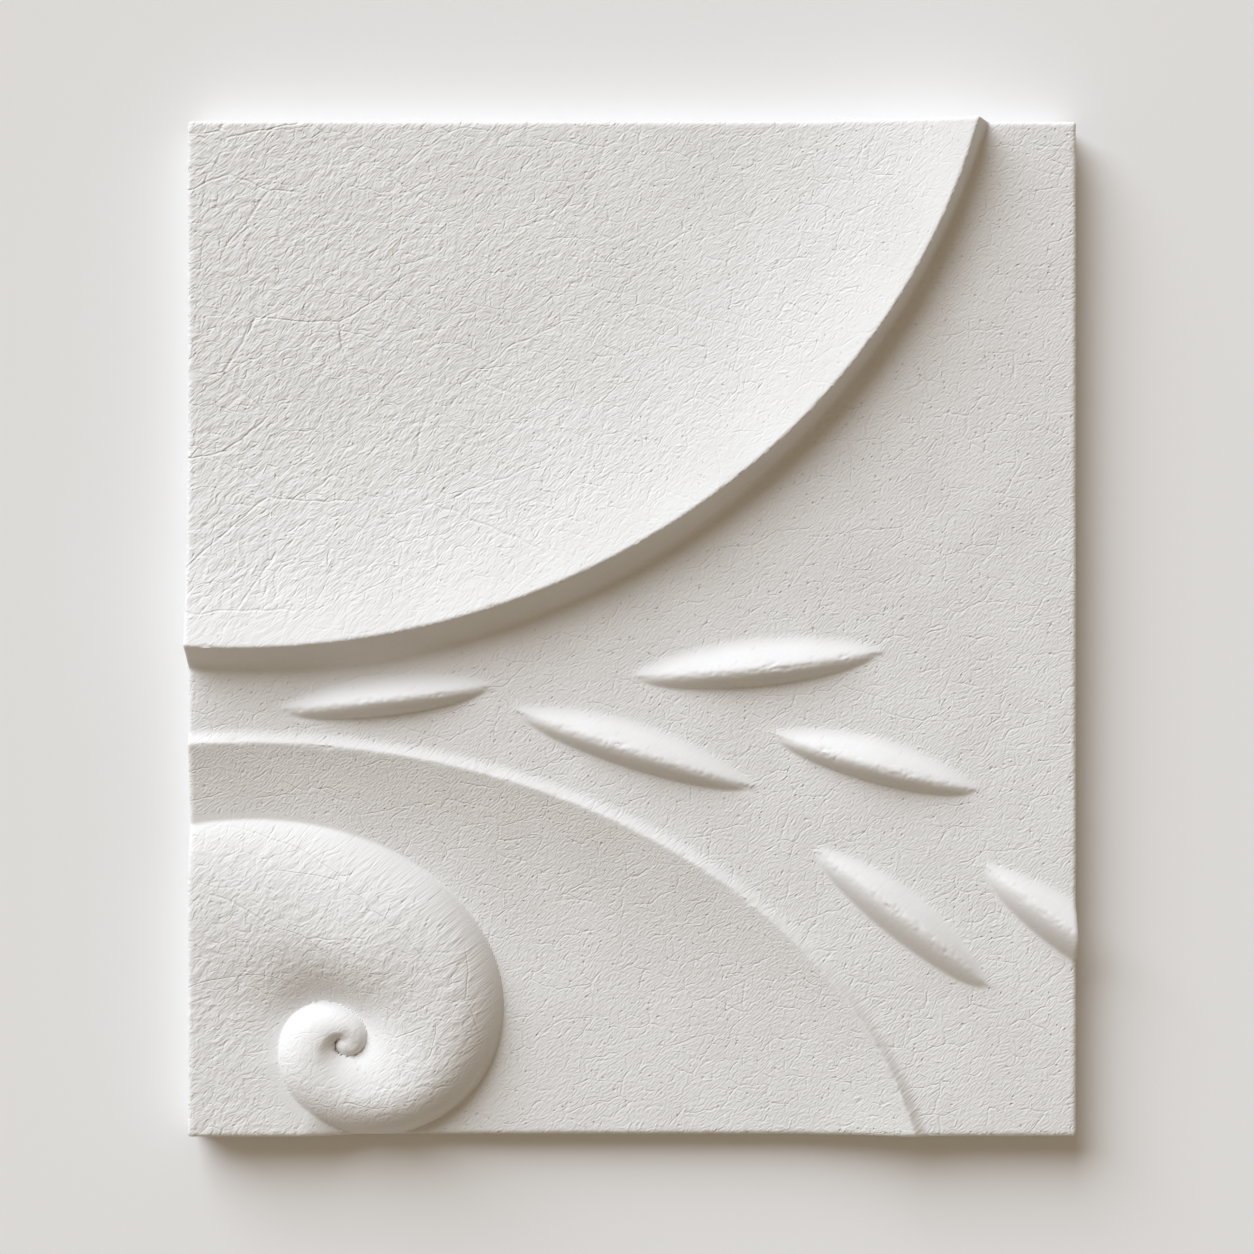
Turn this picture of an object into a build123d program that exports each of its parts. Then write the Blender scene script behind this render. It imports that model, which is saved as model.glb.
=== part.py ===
"""Cast plaster wall relief: one rectangular slab with all of its ornament standing on the face.

The panel lies on its back. X runs to the right, Y runs up the panel as it hangs, Z runs out of
the face, and the origin is the middle of the back. Sizes are millimetres and degrees.
"""

import os
from math import atan2, cos, degrees, exp, hypot, radians, sin

from build123d import *

# Slab.
panel_width = 700.0
panel_height = 800.0
ground_level = 34.0
corner_radius = 3.0
back_chamfer = 2.0

# Upper roundel: a dished disc, most of it past the upper left corner of the panel.
roundel_foot_x = -296.5
roundel_foot_y = 568.7
roundel_foot_radius_x = 601.2
roundel_foot_radius_y = 601.2
roundel_rim_x = -309.5
roundel_rim_y = 532.5
roundel_rim_radius_x = 597.8
roundel_rim_radius_y = 547.4
roundel_rim_level = 63.0
roundel_floor_level = 38.0
roundel_hollow_run = 200.0
roundel_lip = 2.0
roundel_lip_round = 1.2

# Lower field: a shallow dish with a low bevelled crest, centred below the panel.
field_x = -305.2
field_y = -475.6
field_crest_radius_x = 539.0
field_crest_radius_y = 387.0
field_crest_level = 39.5
field_floor_level = 22.0
field_hollow_run = 145.0
field_bevel_run = 7.0
field_lip = 1.5

# Volute: a roll that enters over the left edge and winds in clockwise to a small ball. Its outline
# is an exponential that tightens as it winds, swells twice a turn and is pushed to one side.
volute_x = -226.8
volute_y = -326.1
volute_entry_angle = 124.0
volute_entry_radius = 212.8
volute_decay = 0.26
volute_tightening = 0.0019
volute_swell = 0.0802
volute_shift = 0.068
volute_height = 33.0
volute_height_decay = 0.05
volute_crest_share = 0.53
volute_crest_drift = 0.035
volute_crest_least = 0.22
volute_crest_lean = 0.15
volute_lean_angle = 140.0
volute_dip = 0.45
volute_dip_growth = 0.05
volute_dip_limit = 0.75
volute_inner_ease = 0.25
volute_inner_lift = 0.55
volute_brow_ease = 0.55
volute_brow_foot = 0.94
volute_tail = 165.0
volute_tail_ramp = 45.0
volute_tail_start = 0.05
volute_tail_level = 0.45
volute_tail_dip = 0.45
volute_tail_dip_limit = 0.95
volute_rise_start = -40.0
volute_rise_turn = 100.0
volute_quarters = 10
volute_quarter_steps = 4
volute_tuck = 0.82
volute_burial = 6.0
volute_ball_x = -223.5
volute_ball_y = -327.1
volute_ball_radius = 10.0
volute_ball_top = 21.5

# Leaves: spindles pointed at both ends, with a rounded ridge that sags towards the lower side.
leaf_height = 14.5
leaf_bow = 2.0
leaf_upper_width = 16.5
leaf_lower_width = 15.5
leaf_bulge = 1.2
leaf_ridge_radius = 3.0
leaf_burial = 4.0
leaf_overrun = 3.0
leaf_tips = [
    ((-273.5, -64.0), (-113.4, -45.8)),
    ((-89.2, -65.7), (92.6, -124.0)),
    ((3.7, -37.9), (193.6, -18.9)),
    ((113.4, -84.1), (270.0, -127.4)),
    ((146.4, -175.8), (279.4, -281.3)),
    ((278.6, -188.2), (417.6, -287.8)),
]

hollow_power = 2.5
hollow_steps = 5
trim_height = 120.0


def hollow(centre, rim_radii, rim_level, floor_level, run, lip):
    """Bowl whose flank rises from a flat floor by a power of the distance from it."""
    with BuildPart() as bowl:
        for step in range(hollow_steps + 2):
            rise = step / hollow_steps
            inset = lip + run * (1 - rise)
            level = floor_level + (rim_level - floor_level) * rise**hollow_power
            with BuildSketch(Plane.XY.offset(level)):
                with Locations(centre):
                    Ellipse(rim_radii[0] - inset, rim_radii[1] - inset)
        loft()
    return bowl.part


def spiral_radius(turned):
    """Distance of the roll's outer edge from the eye, after so many degrees of winding in."""
    wound = radians(turned)
    bearing = radians(volute_entry_angle) - wound
    shape = 1 + volute_swell * cos(2 * bearing) - volute_shift * cos(bearing)
    return volute_entry_radius * exp(-volute_decay * wound - volute_tightening * wound**2) * shape


def roll_height(turned):
    """Height of the roll's crest: a low level tail, an eased rise to the full height, a slow sinking."""
    ramp = volute_tail_start + (1 - volute_tail_start) * (volute_tail + turned) / volute_tail_ramp
    way = min(1, max(0, (turned - volute_rise_start) / volute_rise_turn))
    level = volute_tail_level + (1 - volute_tail_level) * way**2 * (3 - 2 * way)
    return volute_height * min(1, ramp) * level * exp(-volute_height_decay * radians(max(turned, 0)))


def roll(first_turn):
    """Quarter turn of the roll, lofted through upright sections that face along the winding."""
    with BuildPart() as length:
        for step in range(volute_quarter_steps + 1):
            turned = first_turn + 90 * step / volute_quarter_steps
            bearing = volute_entry_angle - turned
            outward = Vector(cos(radians(bearing)), sin(radians(bearing)), 0)
            outer = spiral_radius(turned)
            inner = spiral_radius(turned + 360) * volute_tuck
            lean = volute_crest_lean * cos(radians(bearing - volute_lean_angle))
            drift = volute_crest_drift * radians(max(turned, 0))
            share = max(volute_crest_least, volute_crest_share - lean - drift)
            crest = inner + (outer - inner) * share
            height = roll_height(turned)
            dip = min(volute_dip_limit, volute_dip + volute_dip_growth * radians(turned))
            dip = min(volute_tail_dip_limit, dip + volute_tail_dip * radians(max(-turned, 0)))
            plane = Plane(
                origin=(volute_x, volute_y, field_floor_level),
                x_dir=outward,
                z_dir=outward.cross(Vector(0, 0, 1)),
            )
            with BuildSketch(plane):
                with BuildLine():
                    flank = Bezier(
                        (inner, height * dip),
                        (
                            inner + (crest - inner) * volute_inner_ease,
                            height * (dip + (1 - dip) * volute_inner_lift),
                        ),
                        (crest - (crest - inner) * volute_inner_ease, height),
                        (crest, height),
                    )
                    brow = Bezier(
                        flank @ 1,
                        (crest + (outer - crest) * volute_brow_ease, height),
                        (crest + (outer - crest) * volute_brow_foot, height * volute_brow_ease),
                        (outer, 0),
                    )
                    Polyline(brow @ 1, (outer, -volute_burial), (inner, -volute_burial), flank @ 0)
                make_face()
        loft()
    return length.part


def leaf(start, end):
    """Spindle ridge: a gothic section turned about a leaning cross axis that lies under the ground."""
    along = Vector(end[0] - start[0], end[1] - start[1], 0)
    half_length = hypot(along.X, along.Y) / 2
    along = along.normalized()
    across = Vector(-along.Y, along.X, 0)
    lean = atan2(leaf_bow, leaf_height)
    rising = Vector(0, 0, 1) * cos(lean) - across * sin(lean)
    sideways = across * cos(lean) + Vector(0, 0, 1) * sin(lean)
    ridge_height = hypot(leaf_height, leaf_bow)
    ridge_radius = (half_length**2 + ridge_height**2) / (2 * ridge_height)
    chord_radius = ridge_radius - ridge_height
    middle = Vector((start[0] + end[0]) / 2, (start[1] + end[1]) / 2, ground_level)
    centre = middle - rising * chord_radius
    reach = degrees(atan2(half_length, chord_radius)) + leaf_overrun
    heading = along * cos(radians(reach)) + rising * sin(radians(reach))
    upper_foot = (leaf_upper_width * cos(lean), chord_radius - leaf_upper_width * sin(lean))
    lower_foot = (-leaf_lower_width * cos(lean), chord_radius + leaf_lower_width * sin(lean))
    base = chord_radius - leaf_upper_width * sin(lean) - leaf_burial
    with BuildPart() as spindle:
        with BuildSketch(Plane(origin=centre, x_dir=sideways, z_dir=heading)) as section:
            with BuildLine():
                SagittaArc(lower_foot, (0, ridge_radius), leaf_bulge)
                SagittaArc((0, ridge_radius), upper_foot, leaf_bulge)
                Polyline(upper_foot, (upper_foot[0], base), (lower_foot[0], base), lower_foot)
            make_face()
            fillet(section.vertices().sort_by(Axis.Z)[-1], leaf_ridge_radius)
        revolve(axis=Axis(centre, sideways), revolution_arc=2 * reach)
    return spindle.part


with BuildPart() as slab:
    with BuildSketch():
        Rectangle(panel_width, panel_height)
    extrude(amount=ground_level)

with BuildPart() as roundel:
    with BuildSketch(Plane.XY.offset(ground_level)):
        with Locations((roundel_foot_x, roundel_foot_y)):
            Ellipse(roundel_foot_radius_x, roundel_foot_radius_y)
    with BuildSketch(Plane.XY.offset(roundel_rim_level)):
        with Locations((roundel_rim_x, roundel_rim_y)):
            Ellipse(roundel_rim_radius_x, roundel_rim_radius_y)
    loft(ruled=True)
    fillet(roundel.faces().sort_by(Axis.Z)[-1].edges(), roundel_lip_round)
    add(
        hollow(
            (roundel_rim_x, roundel_rim_y),
            (roundel_rim_radius_x, roundel_rim_radius_y),
            roundel_rim_level,
            roundel_floor_level,
            roundel_hollow_run,
            roundel_lip,
        ),
        mode=Mode.SUBTRACT,
    )

with BuildPart() as field_bevel:
    with BuildSketch(Plane.XY.offset(ground_level)):
        with Locations((field_x, field_y)):
            Ellipse(field_crest_radius_x + field_bevel_run, field_crest_radius_y + field_bevel_run)
    with BuildSketch(Plane.XY.offset(field_crest_level)):
        with Locations((field_x, field_y)):
            Ellipse(field_crest_radius_x, field_crest_radius_y)
    loft(ruled=True)

field_hollow = hollow(
    (field_x, field_y),
    (field_crest_radius_x, field_crest_radius_y),
    field_crest_level,
    field_floor_level,
    field_hollow_run,
    field_lip,
)

with BuildPart() as volute_ball:
    with BuildSketch(Plane.XY.offset(field_floor_level - volute_burial)):
        with Locations((volute_ball_x, volute_ball_y)):
            Circle(volute_ball_radius)
    extrude(amount=volute_burial + volute_ball_top - volute_ball_radius)
    with Locations((volute_ball_x, volute_ball_y, field_floor_level + volute_ball_top - volute_ball_radius)):
        Sphere(volute_ball_radius)

with BuildPart() as volute:
    for quarter in range(volute_quarters):
        add(roll(90 * quarter - volute_tail))
    add(volute_ball.part)
    with BuildSketch():
        Rectangle(panel_width, panel_height)
    extrude(amount=trim_height, mode=Mode.INTERSECT)

with BuildPart() as relief_panel:
    add(slab.part)
    add(field_bevel.part)
    add(field_hollow, mode=Mode.SUBTRACT)
    add(roundel.part)
    add(volute.part)
    for tip_pair in leaf_tips:
        add(leaf(*tip_pair))
    with BuildSketch():
        RectangleRounded(panel_width, panel_height, corner_radius)
    extrude(amount=trim_height, mode=Mode.INTERSECT)
    chamfer(relief_panel.faces().sort_by(Axis.Z)[0].edges(), back_chamfer)

relief_panel.part.label = "relief_panel"
os.makedirs("parts", exist_ok=True)
export_step(relief_panel.part, "parts/relief_panel.step")
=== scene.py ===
"""Cast plaster wall relief: the worked face, its plaster finish and a plain studio stage.

The panel lies on its back, as it is packed: X to the right, Y up as it hangs, Z out of the face.
All lengths are metres.
"""

from math import atan, radians

import bpy
import numpy as np
from bpy.props import FloatProperty, FloatVectorProperty, IntProperty, PointerProperty
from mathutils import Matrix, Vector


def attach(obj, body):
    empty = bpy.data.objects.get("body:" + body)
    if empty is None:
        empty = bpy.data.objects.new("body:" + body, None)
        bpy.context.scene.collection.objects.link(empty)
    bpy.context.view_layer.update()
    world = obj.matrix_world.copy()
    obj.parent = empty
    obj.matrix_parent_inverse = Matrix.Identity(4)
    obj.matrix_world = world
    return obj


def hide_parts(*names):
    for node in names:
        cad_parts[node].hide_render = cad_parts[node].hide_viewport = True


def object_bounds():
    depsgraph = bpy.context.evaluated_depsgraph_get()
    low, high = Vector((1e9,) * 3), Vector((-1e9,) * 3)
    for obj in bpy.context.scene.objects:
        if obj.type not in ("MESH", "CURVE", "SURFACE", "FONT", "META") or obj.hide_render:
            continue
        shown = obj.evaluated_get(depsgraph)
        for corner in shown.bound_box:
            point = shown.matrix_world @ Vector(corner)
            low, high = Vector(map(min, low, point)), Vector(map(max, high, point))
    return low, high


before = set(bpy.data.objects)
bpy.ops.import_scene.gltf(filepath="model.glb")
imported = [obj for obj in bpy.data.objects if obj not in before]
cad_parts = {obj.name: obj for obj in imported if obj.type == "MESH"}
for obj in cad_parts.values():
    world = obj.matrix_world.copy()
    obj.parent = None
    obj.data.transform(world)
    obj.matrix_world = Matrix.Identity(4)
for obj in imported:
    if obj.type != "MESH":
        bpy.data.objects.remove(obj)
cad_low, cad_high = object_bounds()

bl_info = {
    "name": "Plaster Wall Relief",
    "version": (1, 0, 0),
    "blender": (4, 5, 0),
    "location": "View3D > Sidebar > Relief",
    "description": "Builds a cast plaster wall relief with its finish and a studio stage",
    "category": "Object",
}

PANEL_HALF_WIDTH = float(cad_high[0])
PANEL_HALF_HEIGHT = float(cad_high[1])

# Each leaf: both of its points, the widths of its upper and lower flanks, and the sag of its ridge
# below the line between the points.
LEAVES = (
    ((-0.2735, -0.0640), (-0.1134, -0.0458), 0.0165, 0.0130, 0.0005),
    ((-0.0892, -0.0657), (0.0926, -0.1240), 0.0195, 0.0140, 0.0010),
    ((0.0037, -0.0379), (0.1936, -0.0189), 0.0210, 0.0140, 0.0028),
    ((0.1134, -0.0841), (0.2700, -0.1274), 0.0200, 0.0130, 0.0022),
    ((0.1464, -0.1758), (0.2794, -0.2813), 0.0175, 0.0180, -0.0025),
    ((0.2786, -0.1882), (0.4176, -0.2878), 0.0190, 0.0180, 0.0015),
)

# A distance past every form, the height at which the roll counts as begun, and the power by which the
# dishes rise to their rims.
FAR = 1.0
ROLL_START = 0.0005
HOLLOW_POWER = 2.5
TRIANGLE_LIMIT = 200000

# Broken crumbs: how far they are drawn out along their line, and the size of their cells.
FLAKE = (3.2, 0.0032)
CRUMB = (1.8, 0.0021)
CRUMB_GROUP = 0.030

# Pattern of the plaster: bearing of the brushed grain in degrees, cells for each metre, and how far the
# pattern slides along X and Y with the height. A stroke has cells for each metre, half length, half
# width and spread of its bearing in degrees; a crack has cells for each metre, half width, and the
# value of the noise from which it shows.
STROKE_BEARING = 40.0
HATCH_STRETCH = 2.8
HATCH_CELLS = 720.0
LUMP_BEARING = 44.0
LUMP_STRETCH = 1.9
LUMP_CELLS = 165.0
PIT_CELLS = 130.0
PIT_CHANCE = 0.84
MOTTLE_CELLS = 16.0
LONG_STROKE = (85.0, 0.0075, 0.0013, 130.0)
SHORT_STROKE = (140.0, 0.0038, 0.0011, 140.0)
CRACK = (17.0, 0.0013, 0.44)
CREASE = (44.0, 0.0010, 0.46)
PATTERN_SLIDE = (0.8, 0.6, 0.0)


def length(name, description, default):
    """Property for a size in metres."""
    return FloatProperty(name=name, description=description, default=default, unit="LENGTH", precision=4)


def number(name, description, default):
    """Property for an angle, a share or a rate."""
    return FloatProperty(name=name, description=description, default=default, precision=4)


def place(name, description, default):
    """Property for a point or a pair of radii in the plane of the panel, in metres."""
    return FloatVectorProperty(
        name=name, description=description, default=default, size=2, subtype="XYZ_LENGTH", precision=4
    )


def pair(name, description, default):
    """Property for a share and the length that belongs to it."""
    return FloatVectorProperty(name=name, description=description, default=default, size=2, precision=4)


def shade(name, description, default):
    """Property for a linear colour."""
    return FloatVectorProperty(
        name=name, description=description, default=default, size=3, subtype="COLOR", min=0.0, max=1.0
    )


class ReliefRoundel(bpy.types.PropertyGroup):
    foot_centre: place("Foot Centre", "Centre of the wall's foot", (-0.2965, 0.5687))
    foot_radii: place("Foot Radii", "Half widths of the wall's foot", (0.6012, 0.6012))
    rim_centre: place("Rim Centre", "Centre of the rim", (-0.3095, 0.5325))
    rim_radii: place("Rim Radii", "Half widths of the rim", (0.5978, 0.5474))
    rim_level: length("Rim Level", "Height of the rim above the back", 0.063)
    floor_level: length("Floor Level", "Height of the dish's floor above the back", 0.038)
    hollow_run: length("Hollow Run", "Width of the rising part of the dish", 0.200)
    lip: length("Lip", "Width of the rim's top", 0.002)


class ReliefField(bpy.types.PropertyGroup):
    centre: place("Centre", "Centre of the crest", (-0.3052, -0.4756))
    crest_radii: place("Crest Radii", "Half widths of the crest", (0.5390, 0.3870))
    crest_level: length("Crest Level", "Height of the crest above the back", 0.0395)
    floor_level: length("Floor Level", "Height of the field's floor above the back", 0.022)
    hollow_run: length("Hollow Run", "Width of the falling part inside the crest", 0.145)
    bevel_run: length("Bevel Run", "Width of the bevel outside the crest", 0.007)
    lip: length("Lip", "Width of the crest's top", 0.0015)


class ReliefVolute(bpy.types.PropertyGroup):
    eye: place("Eye", "Centre that the roll winds in to", (-0.2268, -0.3261))
    start_angle: number("Start Angle", "Bearing in degrees at which the roll enters the panel", 124.0)
    start_radius: length("Start Radius", "Mean distance of the entering edge from the eye", 0.2128)
    decay: number("Decay", "Shrinkage for each radian of winding", 0.2600)
    tightening: number("Tightening", "Growth of the shrinkage for each radian", 0.0019)
    swell: number("Swell", "Share by which the outline swells twice a turn", 0.0802)
    shift: number("Shift", "Share by which the outline is pushed to one side", 0.068)
    height: length("Height", "Height of the entering roll", 0.033)
    height_decay: number("Height Decay", "Fall of the height for each radian", 0.05)
    crest_share: number("Crest", "Mean place of the crest across the roll", 0.53)
    crest_drift: number("Crest Drift", "Inward move of the crest for each radian of winding", 0.035)
    crest_least: number("Least Crest", "Least value of that place", 0.22)
    crest_lean: number("Crest Lean", "Change of that place to either side", 0.15)
    lean_angle: number("Lean Angle", "Bearing in degrees that the crest leans away from", 140.0)
    dip: number("Dip", "Share of the height that is left at the inner edge", 0.45)
    dip_growth: number("Dip Growth", "Growth of that share for each radian", 0.05)
    dip_limit: number("Dip Limit", "Greatest value of that share", 0.75)
    tail_dip: number("Tail Dip", "Growth of that share for each radian of tail", 0.45)
    tail_dip_limit: number("Tail Dip Limit", "Greatest value of that share in the tail", 0.95)
    inner_ease: number("Inner Ease", "Roundness of the inner flank", 0.25)
    inner_lift: number("Inner Lift", "Steepness of the inner flank", 0.55)
    brow_ease: number("Brow Ease", "Roundness of the outer brow", 0.55)
    brow_foot: number("Brow Foot", "Uprightness of the brow at its foot", 0.86)
    tail: number("Tail", "Degrees of tail before the entry", 165.0)
    tail_ramp: number("Tail Ramp", "Degrees over which the tail reaches its level", 45.0)
    tail_level: number("Tail Level", "Share of the height that the tail has", 0.45)
    rise_start: number("Rise Start", "Degrees of winding at which the roll rises from its tail", -40.0)
    rise_turn: number("Rise Turn", "Degrees over which it rises", 100.0)
    winding: number("Winding", "Degrees wound after the entry", 735.0)
    ball: place("Ball", "Centre of the ball in the eye", (-0.2235, -0.3271))
    ball_radius: length("Ball Radius", "Radius of the ball", 0.010)
    ball_top: length("Ball Top", "Height of the ball above the field", 0.0215)
    tuck: number("Tuck", "Share by which a turn runs under the next", 0.82)
    pocket: place("Pocket", "Centre of the pocket pressed in above the curl", (-0.238, -0.303))
    pocket_radii: place("Pocket Radii", "Half widths of the pocket", (0.034, 0.025))
    pocket_depth: length("Pocket Depth", "Depth of the pocket", 0.010)


class ReliefLeaves(bpy.types.PropertyGroup):
    height: length("Height", "Height of the ridge above the ground", 0.0145)
    ridge_radius: length("Ridge Radius", "Roundness of the ridge", 0.0030)
    upper_bulge: number("Upper Bulge", "Share of the upper flank's fall that comes late", 0.05)
    lower_bulge: number("Lower Bulge", "Share of the lower flank's fall that comes late", 0.65)
    upper_foot: length("Upper Foot", "Fillet between the upper flank and the ground", 0.0050)
    lower_foot: length("Lower Foot", "Fillet between the lower flank and the ground", 0.0010)


class ReliefWear(bpy.types.PropertyGroup):
    rim_round: length("Rim Round", "Rounding of the rim's lip", 0.0026)
    rim_fillet: length("Rim Fillet", "Fillet at the foot of the roundel's wall", 0.0050)
    rim_chip: place("Rim Chip", "Reach and depth of the crumbs broken from the rim", (0.0022, 0.0014))
    crest_round: length("Crest Round", "Rounding of the crest", 0.0012)
    crest_fillet: length("Crest Fillet", "Fillet at the foot of the crest's bevel", 0.0030)
    crest_chip: place("Crest Chip", "Reach and depth of the crumbs broken from the crest", (0.0024, 0.0016))
    roll_fillet: length("Roll Fillet", "Fillet at the foot of the roll", 0.0008)
    leaf_chip: place("Leaf Chip", "Reach and depth of the crumbs broken from the ridges", (0.0042, 0.0018))
    waviness: length("Waviness", "Height of the slow waves in the ground and the dish", 0.00030)


class ReliefRubbing(bpy.types.PropertyGroup):
    rim: pair("Rim", "Calm at the rim, and its reach into the dish", (0.6, 0.040))
    wall: number("Wall", "Calm of the roundel's wall", 0.85)
    foot: pair("Foot", "Calm at the wall's foot, and its reach over the ground", (0.6, 0.012))
    crest: pair("Crest", "Calm at the crest, and its reach", (0.6, 0.007))
    brow: pair("Brow", "Calm at the roll's outline, and its reach", (0.75, 0.017))
    roll: number("Roll", "Least calm on the roll", 0.32)
    curl: pair("Curl", "Calm at the eye, and its reach", (0.6, 0.055))
    leaf: pair("Leaf", "Calm on a leaf, and the width over which it ends", (0.9, 0.004))
    side: number("Side", "Least calm of the sides", 0.8)
    ground_lumps: number("Ground Lumps", "Lumpiness of the ground and the field", 0.12)
    dish_lumps: number("Dish Lumps", "Lumpiness of the right of the dish", 0.35)
    dish_span: pair("Dish Span", "Place where the dish begins to be lumpier, and its width", (0.05, 0.40))
    brow_smooth: pair("Brow Smooth", "Loss of lumps at the roll's outline, and its reach", (0.9, 0.018))
    slant: number("Slant", "Bearing of the long cracks in degrees", 12.0)
    scroll_pace: number("Scroll Pace", "Length of crack pattern for each radian of winding", 0.10)
    scroll_spread: number("Scroll Spread", "Closeness of the cracks across the roll", 1.5)


class ReliefPanelSizes(bpy.types.PropertyGroup):
    ground_level: length("Ground Level", "Height of the flat ground above the back", 0.034)
    edge_round: length("Edge Round", "Rounding of the face's outer edges", 0.0032)
    corner_radius: length("Corner Radius", "Rounding of the standing corners", 0.003)
    back_chamfer: length("Back Chamfer", "Bevel round the back", 0.002)
    cells_across: IntProperty(name="Cells Across", description="Coarse cells across the face", default=140)
    cells_up: IntProperty(name="Cells Up", description="Coarse cells up the face", default=160)
    splits: IntProperty(name="Splits", description="Fine cells along a coarse cell", default=4)


class ReliefPlaster(bpy.types.PropertyGroup):
    colour: shade("Colour", "Body colour of the plaster", (0.79, 0.783, 0.775))
    # Lighter end of the body colour: the random mottle runs towards it, and the whole dish is pushed towards
    # it as painted light.
    pale_and_painted_light: shade("Pale", "Paler patches of the plaster", (0.835, 0.83, 0.826))
    # The next two settings paint shade into the pits: a brown that they are darkened towards, and how
    # strongly.
    pit_shade_colour: shade("Dust", "Dust in the pits", (0.56, 0.53, 0.49))
    pit_shade_strength: number("Soil", "How far the dust covers the pits", 0.22)
    hatch_depth: number("Hatch Depth", "Height of the fine brushed grain in millimetres", 0.37)
    stroke_depth: number("Stroke Depth", "Height of the short strokes in millimetres", 0.40)
    lump_depth: number("Lump Depth", "Height of the lumps in millimetres", 1.1)
    pit_depth: number("Pit Depth", "Depth of the pits in millimetres", 0.45)
    crack_depth: number("Crack Depth", "Depth of the long cracks in millimetres", 0.32)
    crease_depth: number("Crease Depth", "Depth of the short creases in millimetres", 0.22)
    roughness: number("Roughness", "Roughness of the dry plaster", 0.82)


class ReliefStage(bpy.types.PropertyGroup):
    floor: shade("Floor", "Colour of the floor", (0.86, 0.856, 0.855))
    frame_width: length("Frame Width", "Width of the picture at the ground's level", 0.9882)
    camera_height: length("Camera Height", "Distance of the camera above the ground", 2.4)
    camera_offset: place("Camera Offset", "Place of the camera over the panel", (-0.0041, 0.0016))
    floor_reach: length("Floor Reach", "Half width of the floor", 4.0)
    floor_gap: length("Floor Gap", "Depth of the floor below the back", 0.0004)
    light_tilt: number("Light Tilt", "Lean of the light from overhead in degrees", -60.0)
    light_bearing: number("Light Bearing", "Turn of the light in degrees", 34.0)
    light_width: number("Light Width", "Breadth of the light in degrees", 52.0)
    light_power: number("Light Power", "Strength of the light", 3.93)
    light_colour: shade("Light Colour", "Colour of the light", (0.86, 0.922, 1.0))
    fill_power: number("Fill Power", "Strength of the light from all round", 0.285)
    fill_colour: shade("Fill Colour", "Colour of the light from all round", (1.0, 0.80, 0.55))


def ellipse_distance(x, y, centre, radii):
    """Distance outside an ellipse, first order: (scaled radius - 1) over the size of its gradient."""
    dx = x - centre[0]
    dy = y - centre[1]
    scaled = np.hypot(dx / radii[0], dy / radii[1]) + 1e-9
    slope = np.hypot(dx / radii[0] ** 2, dy / radii[1] ** 2) / scaled
    return (scaled - 1) / slope


def soft_max(a, b, reach):
    """The greater of two heights, with a fillet that begins where they are within reach."""
    share = np.clip(0.5 + 0.5 * (a - b) / reach, 0, 1)
    return b + (a - b) * share + reach * share * (1 - share)


def soft_min(a, b, reach):
    """The lesser of two heights, with a rounding that begins where they are within reach."""
    return -soft_max(-a, -b, reach)


def lattice_hash(ix, iy, seed):
    """Well mixed whole number for each lattice point."""
    mixed = ix.astype(np.uint32) * np.uint32(374761393) + iy.astype(np.uint32) * np.uint32(668265263)
    mixed = mixed + np.uint32(seed * 974711 + 1013)
    mixed = (mixed ^ (mixed >> np.uint32(13))) * np.uint32(1274126177)
    mixed = (mixed ^ (mixed >> np.uint32(16))) * np.uint32(2246822519)
    return mixed ^ (mixed >> np.uint32(15))


def noise(x, y, cell, seed):
    """Gradient noise, about -1 to 1: each lattice point has a random slope, blended by a quintic."""
    gx = x / cell
    gy = y / cell
    ix = np.floor(gx).astype(np.int64)
    iy = np.floor(gy).astype(np.int64)
    fx = gx - ix
    fy = gy - iy

    def corner(cx, cy):
        turn = lattice_hash(ix + cx, iy + cy, seed) * (2 * np.pi / 2**32)
        return np.cos(turn) * (fx - cx) + np.sin(turn) * (fy - cy)

    wx = fx**3 * (fx * (fx * 6 - 15) + 10)
    wy = fy**3 * (fy * (fy * 6 - 15) + 10)
    low = corner(0, 0) * (1 - wx) + corner(1, 0) * wx
    high = corner(0, 1) * (1 - wx) + corner(1, 1) * wx
    return 1.5 * (low * (1 - wy) + high * wy)


def bezier_curve(points):
    """Samples of a cubic with these four control points: across, then up."""
    t = np.linspace(0, 1, 81)
    weights = ((1 - t) ** 3, 3 * t * (1 - t) ** 2, 3 * t**2 * (1 - t), t**3)
    across = sum(w * p[0] for w, p in zip(weights, points))
    up = sum(w * p[1] for w, p in zip(weights, points))
    return across, up


def spiral_radius(turned, volute):
    """Outer radius of the roll after so many degrees: a tightening exponential, swollen and off centre."""
    wound = np.radians(turned)
    bearing = np.radians(volute.start_angle) - wound
    shape = 1 + volute.swell * np.cos(2 * bearing) - volute.shift * np.cos(bearing)
    return volute.start_radius * np.exp(-volute.decay * wound - volute.tightening * wound**2) * shape


def windings(x, y, volute):
    """Radius about the eye, and the winding angles at which the roll passes each point's bearing."""
    dx = x - volute.eye[0]
    dy = y - volute.eye[1]
    radius = np.hypot(dx, dy)
    first = np.mod(volute.start_angle - np.degrees(np.arctan2(dy, dx)), 360) - 360
    return radius, [first + 360 * turn for turn in range(4)]


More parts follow.
